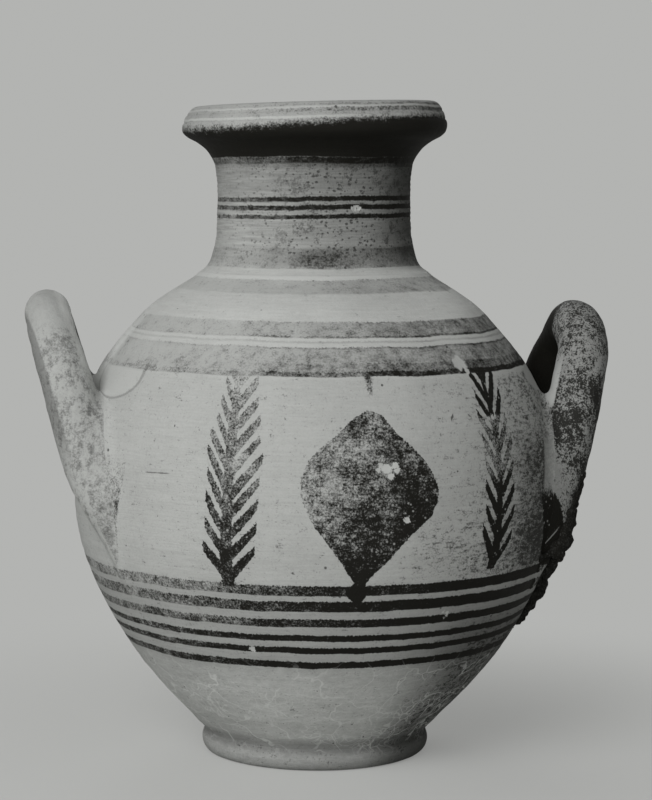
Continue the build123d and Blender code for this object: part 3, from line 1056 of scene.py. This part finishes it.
places = {                        # soft edges: from nothing to all over these degrees or millimetres
    "rightward": (("turn", -72, 60),),
    "lowDown": (("height", 96, 70),),
    "panel": (("height", 137, 147), ("height", 277, 268)),
    "neck": (("height", 338, 356), ("height", 418, 411)),
    # grime and painted shade on the right side
    "grimeAndShadeRight": (("turn", 6, 60),),
    "lozengeMiddle": (("turn", -9, 3),),
    "lozengeRight": (("turn", 3, 14),),
    "lozengeLow": (("height", 215, 160),),
    "lozengeFoot": (("height", 158, 140),),
    "leavesHigh": (("height", 185, 268),),
    "leavesLow": (("height", 215, 165),),
    "rightStem": (("turn", 0, 30),),
    "stemTop": (("height", 248, 251),),
    "wornStem": (("height", 203, 212), ("height", 249, 246)),
    "lowRows": (("height", 120, 106),),
    "drip": (("height", 258, 268), ("height", 280, 278)),
    # painted shade on the neck just under the lip
    "shadeUnderLip": (("height", 398, 416), ("height", 420, 417)),
    "upperHalf": (("height", 272, 280), ("height", 424, 414)),
    "besideLozenge": (("turn", 0, 14), ("height", 205, 160)),
    "besideStem": (("turn", 40, 50), ("height", 236, 215)),
    "bowlRight": (("turn", 15, 48), ("height", 140, 80), ("height", 4, 34)),
    "bowlLow": (("height", 84, 50),),
    "cleanRoot": (("height", 182, 192), ("height", 236, 222)),
    "pitted": (("turn", -95, -10),),
    "finePitted": (("turn", -80, 10),),
    "topPitted": (("height", 390, 402),),
    "grainy": (("height", 140, 172),),
    "roots": (("height", 90, 66), ("height", 12, 22)),
    "hairs": (("height", 86, 42), ("height", 4, 30)),
    "neckShade": (("turn", -62, 12),),
    "neckFarShade": (("turn", 20, 60),),
    # painted light on the right shoulder
    "paintedLightShoulder": (("turn", 12, 55), ("height", 205, 330), ("height", 345, 335)),
    # painted bounce light on the wall inside the left loop
    "bounceLightInLeftLoop": (("around", -79, -86), ("around", -110, -98), ("height", 258, 268), ("height", 325, 285)),
    "lozengeShade": (("turn", 10, 22),),
    "stemShade": (("turn", 38, 48), ("turn", 56, 54), ("height", 245, 222)),
    "bowlShade": (("height", 142, 92), ("turn", 8, 40)),
    "bowlLeft": (("turn", -25, -48), ("height", 14, 26)),
    "footRight": (("height", 24, 12), ("turn", -40, 0)),
}

strokes = {
    "drip": (4.2, 275.0, 0.03),   # turn, height and lean
    "blot": (-6.0, 347.5),
    "scratch": (-47.0, 211.0, 0.1),
    "mark": (24.3, 249.0, 0.2),
    "cleanLine": (54.8, 190.0, 0.1),
    "underLip": (416.6, 418.0),
    "underLipTop": (434.5, 6.5),  # height at the left, and how much more at the right
}


def bodyPaint():
    clay = Finish("paintedClay")
    height, around = clay.whereabouts()[2:]
    fold = 90.0 - clay.size(clay.size(around) - 90.0)
    turn = fold * clay.maths("SIGN", around)   # the back repeats the front
    values = {"turn": turn, "around": around, "height": height}

    def at(name):
        # 1 in a place, 0 outside it
        share, *others = [clay.step(low, high, values[kind]) for kind, low, high in places[name]]
        for other in others:
            share = share * other
        return share

    fine = clay.noise(1.3, detail=3.0, rough=0.7)
    middle = clay.noise(5.0, shift=31.0, detail=3.0, rough=0.6)
    broad = clay.noise(46, shift=7.0)
    patch = clay.noise(17, shift=53.0, detail=3.0)
    streak = clay.noise(1.0, stretch=(0.045, 0.045, 0.75), shift=11.0, detail=3.0, rough=0.6)
    blotch = clay.noise(1.0, stretch=(0.17, 0.17, 0.5), shift=37.0, detail=3.0, rough=0.65)
    grainy, ragged, wander = clay.strays(fine)
    lane = height + wander + grainy
    plainLane = height + grainy
    rightness, lowDown, onPanel, onNeck = at("rightward"), at("lowDown"), at("panel"), at("neck")

    # painted rows: dark paint, grey wash and light slip
    belly, shoulder, neck, lipPaint = [rowPaint(clay, lane, name) for name in ("belly", "shoulder", "neck", "lip")]
    wash = (shoulder[1] + neck[1]) * (0.42 + rightness * 0.75) + lipPaint[1]
    light = shoulder[2] + neck[2] * 0.3 + lipPaint[2]

    girth = turn * tree["degree"] + ragged
    leftEdge, rightEdge = (girth - lozengeEdge(clay, plainLane, side) * tree["degree"] for side in ("left", "right"))
    diamond = clay.step(-0.4, 0.6, leftEdge) * clay.step(0.4, -0.6, rightEdge)
    diamond = diamond * clay.within(plainLane, *lozenge["heights"])
    trees = clay.most(*(treePaint(clay, turn, plainLane, ragged, side) for side in ("left", "right")))
    spare, brushLine = crotchPaint(clay, around, height, ragged)
    leftRoot, rightRoot = rootPaint(clay, around, height, ragged)

    # how thick each paint lies, from 0 to 1
    diamondCover = 0.42 + at("lozengeMiddle") * 0.17 + at("lozengeRight") * 0.20 + at("lozengeLow") * 0.22
    diamondCover = diamondCover + at("lozengeFoot") * 0.3 + (patch + blotch) * 0.7
    leafCover = 0.64 - at("leavesHigh") * 0.20 + at("leavesLow") * 0.14 + patch * 0.5
    leafCover = leafCover + at("rightStem") * (0.30 + at("stemTop") * 0.25 - at("wornStem") * 0.32)
    rowCover = 0.49 + rightness * 0.77 + at("lowRows") * 0.18 + patch * 0.6
    where, tall, lean = strokes["drip"]
    drip = clay.size(turn - where + (height - tall) * lean) + (tall - height) * lean
    motif = clay.most(
        diamond * diamondCover, trees * leafCover, leftRoot * (0.42 + patch * 0.6), rightRoot * (0.95 + patch * 0.4),
        clay.step(1.6, 0.2, drip) * at("drip") * 0.62,
    )
    where, tall = strokes["blot"]
    neckBlot = clay.step(22, 2, clay.size(turn - where)) * clay.step(9, 1, clay.size(height - tall)) * 0.36
    band = belly[0] * rowCover + (neck[0] + neckBlot) * (0.66 + rightness * 0.5 + patch * 0.5 + blotch * 0.8)
    band = band + lipPaint[0] * (0.2 + rightness * 1.2 + patch * 0.6)
    band = band + shoulder[0] * (0.42 + rightness * 0.9 + patch + blotch * 0.9)
    # the dark paint under the lip, which reaches higher to the right
    level, more = strokes["underLipTop"]
    underLip = clay.step(9.0, -5.0, height + middle * 2.0 - (rightness * more + level)) * (1.0 + rightness * 0.4)
    underLip = clay.step(*strokes["underLip"], lane) * underLip
    # the neck just under the lip gets painted shade, deeper to the right
    cover = clay.most(motif, band, underLip) * (1.0 - spare) + at("shadeUnderLip") * (0.16 + rightness * 0.2)
    speck = fine * (1.35 - at("upperHalf") * 0.55) + middle * 0.7 + 0.5
    painted = clay.step(-0.36, 0.30, cover - speck)

    # grime and painted shade that gather to the right, and flecks everywhere
    dirtAndShade = (at("grimeAndShadeRight") * (0.90 + patch * 0.4 + broad * 0.5) * 0.5 + at("besideLozenge") * 0.2) * onPanel
    dirtAndShade = dirtAndShade + at("besideStem") * onPanel * 0.22 + at("bowlRight") * 0.52 + at("bowlLow") * 0.07 - 0.01
    where, tall, lean = strokes["cleanLine"]
    clean = clay.step(0.0, 1.5, turn - where - (height - tall) * lean) * at("cleanRoot")
    grimeAndShade = clay.step(-0.30, 0.34, dirtAndShade + blotch * 1.7 + patch * 0.35 - speck) * (1.0 - spare) * (1.0 - clean * 0.75)
    flecks = clay.cells(clay.spot, 0.10)
    luck = clay.node("SeparateColor", {}, {0: flecks.beside("Color")})
    fleck = clay.step(0.75, 0.35, flecks * 10.0 - (luck - 0.80) * 2.4 + fine * 1.6) * clay.step(0.80, 0.82, luck)
    pits = clay.cells(clay.vectors("MULTIPLY", {0: clay.spot, 1: (0.27, 0.27, 0.36)}), 1.0)
    pit = clay.step(0.34, 0.14, pits + (0.1 - middle) * 0.5 + fine * 0.7 + patch * 0.5) * at("pitted")
    finePit = clay.step(0.055, 0.13, (middle + fine) * 0.5 + patch * 0.3 + at("topPitted") * 0.03)
    pit = clay.most(pit, finePit * at("finePitted") * 0.8) * onNeck
    # pale grains in the painted stems and lozenge
    grain = clay.step(0.20, 0.10, clay.cells(clay.spot, 0.26) + patch * 0.5 + fine * 0.4)
    grain = grain * clay.step(0.2, 0.5, motif) * at("grainy")

    # root marks on the lower bowl
    swirl = clay.node("TexNoise", {}, {"Vector": clay.spot, "Scale": 0.055, "Detail": 2.0}, "Color")
    swayed = clay.vectors("ADD", {0: clay.spot, 1: clay.vectors("SCALE", {0: swirl, "Scale": 26.0})})
    roots, hairs = (clay.cells(swayed, scale, "DISTANCE_TO_EDGE") for scale in (0.034, 0.13))
    root = clay.step(0.026, 0.008, roots + fine * 0.03) * clay.step(-0.10, 0.0, clay.noise(30, shift=23.0))
    hair = clay.step(0.075, 0.02, hairs + fine * 0.07) * clay.step(-0.08, 0.06, clay.noise(24, shift=41.0))
    marks = root * at("roots") + hair * at("hairs") * 0.8

    base = clay.graph(height + wander * 2.0, clayTones["span"], clayTones["stops"])
    base = base * (1.0 + fine * 0.26 + middle * 0.14 + broad * 0.16 + streak * (0.25 + onNeck * 0.7))
    # painted shade on the neck's right side, and painted light on the right shoulder
    base = base * (1.0 - onNeck * (at("neckShade") + at("neckFarShade")) * 0.34) * (1.0 + at("paintedLightShoulder") * 0.35)
    base = base * (1.0 - wash * (0.40 + patch * 0.6 + streak * 0.5))
    base = clay.blend(base, clayTones["slip"], clay.ends(light) * clay.step(0.9, 0.4, speck) * 0.75)
    base = clay.blend(base, 0.46, spare * 0.85) * (1.0 - brushLine * 0.3)
    # painted bounce light on the wall inside the left loop, then darkening by grime and painted shade
    base = clay.blend(base, 0.62, at("bounceLightInLeftLoop") * 0.8) * (1.0 - grimeAndShade * 0.84)
    base = base * (1.0 - onPanel * (at("lozengeShade") * 0.03 + at("stemShade") * 0.2))
    base = base * (1.0 - at("bowlShade") * 0.6) * (1.0 + lowDown * blotch * 0.55)
    base = base * (1.0 - lowDown * (at("bowlLeft") * 0.13 + at("footRight") * 0.1))
    tone = clay.blend(base, clayTones["paint"], painted * 0.99)
    tone = clay.blend(tone, 0.36, grain * 0.7)
    where, tall, lean = strokes["scratch"]
    scratch = clay.step(0.7, 0.2, clay.size(height - tall - (turn - where) * lean) + middle * 1.2)
    scratch = scratch * clay.step(4.0, 2.5, clay.size(turn - where))
    where, tall, lean = strokes["mark"]
    mark = clay.size(turn - where - (height - tall) * lean) * 2.9 + clay.size(height - tall) * 0.45
    tone = clay.blend(tone, 0.03, clay.most(fleck, pit, scratch * 0.8, clay.step(1.5, 0.8, mark)) * 0.8)

    spot = clay.node("CombineXYZ", {}, {0: around * clay.blend(tree["degree"], 1.19, onNeck), 1: height})
    scar = 99.0
    for where, tall, radius in scars:
        away = clay.vectors("DISTANCE", {0: spot, 1: (where * tree["degree"], tall, 0)}, "Value")
        scar = clay.maths("MINIMUM", away - radius, scar)
    scar = clay.step(0.55, -0.35, scar + middle * 4.5 + fine * 5.5)
    tone = clay.blend(tone, clayTones["slip"], scar * 0.92)
    tone = clay.blend(tone, 0.62, clay.ends(marks) * 0.62)
    relief = fine * 0.4 + middle * 0.4 + streak * 0.4 - pit * 0.9
    return clay.finish(tone, relief, 0.93 - painted * 0.2 + fine * 0.1, 0.0007)


loopPaints = {
    "leftLoop": {
        "side": "left", "edge": 0.42, "tone": 0.39, "wall": 1.0, "cover": 0.24, "runs": 1.1, "cloud": 0.5,
        "strength": 0.66, "grain": 1.1, "soft": 0.36, "axis": (165.0, 164.4, 0.145),
        "behind": {"depth": (2, 12), "height": (205, 250), "top": (420, 410), "cover": 0.66, "strength": 0.85},
        "marks": (                # turn, height, half widths, more or less paint
            (-66.0, 230, 6.5, 30, 0.16), (-61.4, 215, 1.5, 6, 0.45), (-71.5, 286, 2.4, 32, 0.20),
            (-75.0, 280, 1.8, 26, 0.18), (-83.0, 322, 16, 22, -0.30), (-67.5, 255, 2.2, 18, 0.12),
        ),
    },
    "rightLoop": {
        "side": "right", "edge": 0.1, "tone": 0.27, "wall": 0.9, "cover": 0.40, "runs": 0.7, "cloud": 0.6,
        "strength": 0.93, "grain": 2.4, "soft": 0.2, "axis": (161.0, 165.0, 0.195),
        "behind": {"depth": (-7, -1), "height": (150, 200), "top": (318, 304), "cover": 1.3, "strength": 1.0},
        "marks": (
            (65.4, 241, 5.0, 19, 0.28), (63.6, 224, 3.4, 20, 0.12), (60.4, 200, 2.8, 22, -0.3),
            (60.6, 240, 3.0, 12, 0.24), (73.0, 238, 3.0, 50, 0.34), (74.0, 274, 3.6, 12, -0.18),
            (68.5, 200, 3.8, 26, 0.36), (66.0, 176, 3.4, 16, 0.10), (80.0, 304, 18, 22, 0.06),
        ),
    },
    "backStrap": {
        "side": "back", "edge": 0.0, "tone": 0.33, "wall": 1.0, "cover": 0.42, "runs": 0.9, "cloud": 0.6,
        "strength": 0.85, "grain": 1.6, "soft": 0.32, "axis": (161.0, 165.0, 0.195),
        "behind": {"depth": (400, 410), "height": (0, 1), "top": (420, 410), "cover": 0.5, "strength": 0.8},
        "marks": (),
    },
}

loopPlaces = {                    # the first two are distances from the arm's centre line, the others heights
    "strip": ((-13.6, -15.2), (243, 250), (290, 262)),
    # painted light on the left loop's inner side
    "pale": ((-2.0, -12.0), (248, 285)),
    "outward": ((15.4, 16.6), (198, 240), (318, 306)),
    "crownEdge": (318, 290, 1.2),
    "crack": (59.0, 154.0, 0.2),  # turn, height and lean
    "crackHeights": ((152, 155), (168, 163)),
}


def loopPaint(name):
    look, side = loopPaints[name], loopPaints[name]["side"]
    clay = Finish(name + "Clay")
    aside, depth, height, around = clay.whereabouts()
    radius = clay.maths("SQRT", aside * aside + depth * depth)
    fine = clay.noise(1.3, detail=3.0, rough=0.7)
    middle = clay.noise(4.5, shift=31.0, detail=3.0, rough=0.6)
    broad = clay.noise(30, shift=7.0)
    runs = clay.noise(1.0, stretch=(0.15, 0.15, 0.035), shift=5.0, detail=3.0, rough=0.6)
    grainy, ragged, wander = clay.strays(fine)

    # near the wall the arm carries the wall's own slip and bands
    most = clayTones["wallMost"]
    wallPoints = [(tall, wallRadius(tall) / most) for tall in np.linspace(*clayTones["wallSpan"], 24)]
    wall = clay.graph(height, clayTones["wallSpan"], wallPoints) * most
    onArm = clay.step(0.5, 5.5, radius - wall + middle * 4.0)
    onWall = 1.0 - onArm
    belly = rowPaint(clay, height + wander + grainy, "belly")[0]
    spare, brushLine = crotchPaint(clay, around, height, ragged)
    leftRoot, rightRoot = rootPaint(clay, around, height, ragged)

    speck = fine * look["grain"] + middle * 1.1 + 0.5
    amount = look["cover"] + runs * look["runs"] + broad * look["cloud"]
    spot = clay.node("CombineXYZ", {}, {0: around, 1: height})
    for turn, tall, wide, high, more in look["marks"]:
        gap = clay.vectors("SUBTRACT", {0: spot, 1: (turn, tall, 0)})
        gap = clay.vectors("MULTIPLY", {0: gap, 1: (1 / wide, 1 / high, 0)})
        away = clay.vectors("LENGTH", {0: gap}, "Value")
        amount = amount + clay.step(1.25, 0.35, away + middle * 0.8) * more
    # how far out from the arm's own centre line, which leans away from the jar
    axisHeight, axisRadius, axisSlope = look["axis"]
    inner = radius - (height - axisHeight) * axisSlope - axisRadius
    # the back arms get dark paint and painted shade, blackest in the right loop's hole
    shaded = look["behind"]
    behind = clay.step(*shaded["depth"], depth) * clay.within(height, shaded["height"], shaded["top"])
    behind = behind * clay.step(9.0, -3.0, inner + middle * 14.0)
    ahead = 1.0 - behind
    amount = clay.blend(amount, shaded["cover"], behind) * onArm

    # pale slip beside the right loop's hole, and painted light on the left loop's inner side
    strip, pale = 0.0, 0.0
    if side == "right":
        across, rise, fall = loopPlaces["strip"]
        strip = clay.step(*across, inner + ragged * 0.4) * clay.within(height, rise, fall) * ahead
    if side == "left":
        across, rise = loopPlaces["pale"]
        pale = clay.step(*across, inner) * clay.step(*rise, height) * ahead
    strip = clay.most(strip, spare * onWall)
    # painted shade along each loop's outer face, strongest on the left loop
    across, rise, fall = loopPlaces["outward"]
    low, high, less = loopPlaces["crownEdge"]
    outward = clay.step(*across, inner + ragged * 0.3 - clay.step(low, high, height) * less)
    outward = outward * clay.within(height, rise, fall) * look["edge"]
    amount = clay.most(amount, leftRoot * 0.46, rightRoot * 1.1) * (1.0 - clay.most(strip, pale))
    amount = clay.most(amount, belly * 0.75 * onWall)
    painted = clay.step(-look["soft"], look["soft"], amount - speck)

    wallTone = clay.blend(0.33, 0.40, clay.step(139, 144, height)) * look["wall"]
    base = clay.blend(wallTone, look["tone"], onArm) * (1.0 + fine * 0.3 + middle * 0.22 + broad * 0.25)
    base = clay.blend(base, 0.48, strip * 0.85) * (1.0 - brushLine * onWall * 0.28)
    base = clay.blend(base, 0.72, pale) * (1.0 - outward)
    if side == "right":
        turn, tall, lean = loopPlaces["crack"]
        crack = clay.step(0.22, 0.08, clay.size(around - turn - (height - tall) * lean + ragged * 0.06))
        crack = crack * clay.within(height, *loopPlaces["crackHeights"])
        base = clay.blend(base, 0.30, crack)
        painted = painted * (1.0 - crack * 0.8)
    strength = clay.blend(clay.blend(look["strength"], shaded["strength"], behind), 0.99, rightRoot)
    shade = clay.blend(base, clayTones["paint"], painted * strength)
    return clay.finish(shade, fine * 0.45 + middle * 0.7, 0.92 - painted * 0.15, 0.0009)


def innerClay():
    clay = Finish("bareClay")
    fine = clay.noise(1.6, detail=3.0, rough=0.6)
    middle = clay.noise(7.0, shift=13.0, detail=3.0)
    broad = clay.noise(50, shift=3.0)
    rings = clay.noise(1.0, stretch=(0.02, 0.02, 0.16), shift=9.0, detail=3.0)
    tone = clayTones["bare"] * (1.02 + fine * 0.14 + middle * 0.16 + broad * 0.3 + rings * 0.35)
    return clay.finish(tone, fine * 0.3 + middle * 0.4 + rings * 1.2, 0.925 - fine * 0.05, 0.0012)


def soil():
    clay = Finish("hardSoil")
    fine = clay.noise(1.2, detail=4.0, rough=0.7)
    middle = clay.noise(4.0, shift=13.0, detail=3.0)
    tone = 0.009 + clay.step(0.0, 0.25, fine) * 0.07 + clay.step(0.1, 0.3, middle) * 0.03
    return clay.finish(tone, fine * 0.8 + middle * 0.5, 0.95 - fine * 0.04, 0.0012)


painted = bodyPaint()
inner = innerClay()
print("painted clay ready")
finishes = {name: loopPaint(name) for name in loopPaints}
finishes["soilCrust"] = soil()


def paperFinish():
    clay = Finish("palePaper")
    path = clay.node("LightPath", {}, {}, "Is Camera Ray")
    seen = clay.most(path, path.beside("Is Glossy Ray"), path.beside("Is Transmission Ray"))
    place = clay.node("NewGeometry", {}, {}, "Position")
    away = clay.vectors("LENGTH", {0: place}, "Value")
    share = clay.blend(*studio["glowShare"], clay.step(*studio["shadowReach"], away))
    floor, glow = ([studio[name] * part for part in studio["paperTint"]] + [1] for name in ("floorTone", "paperGlow"))
    for name, value in (("Base Color", floor), ("Roughness", 0.9), ("Specular IOR Level", 0.1)):
        clay.shader.inputs[name].default_value = value
    shine = clay.node("Emission", {}, {"Color": glow, "Strength": 1.0})
    both = clay.node("MixShader", {}, {0: seen * share, 1: Flow(clay, clay.shader.outputs[0]), 2: shine})
    clay.tree.links.new(both.socket, clay.tree.nodes["Material Output"].inputs["Surface"])
    return clay.material


paper.data.materials.append(paperFinish())
for name, piece in pieces.items():
    piece.data.materials.append(finishes.get(name, painted))
    piece.data.materials.append(inner)
    "soil" if name == "soilCrust" else "fired_clay"
    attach(piece, "root")
print("finishes on", len(pieces), "pieces")
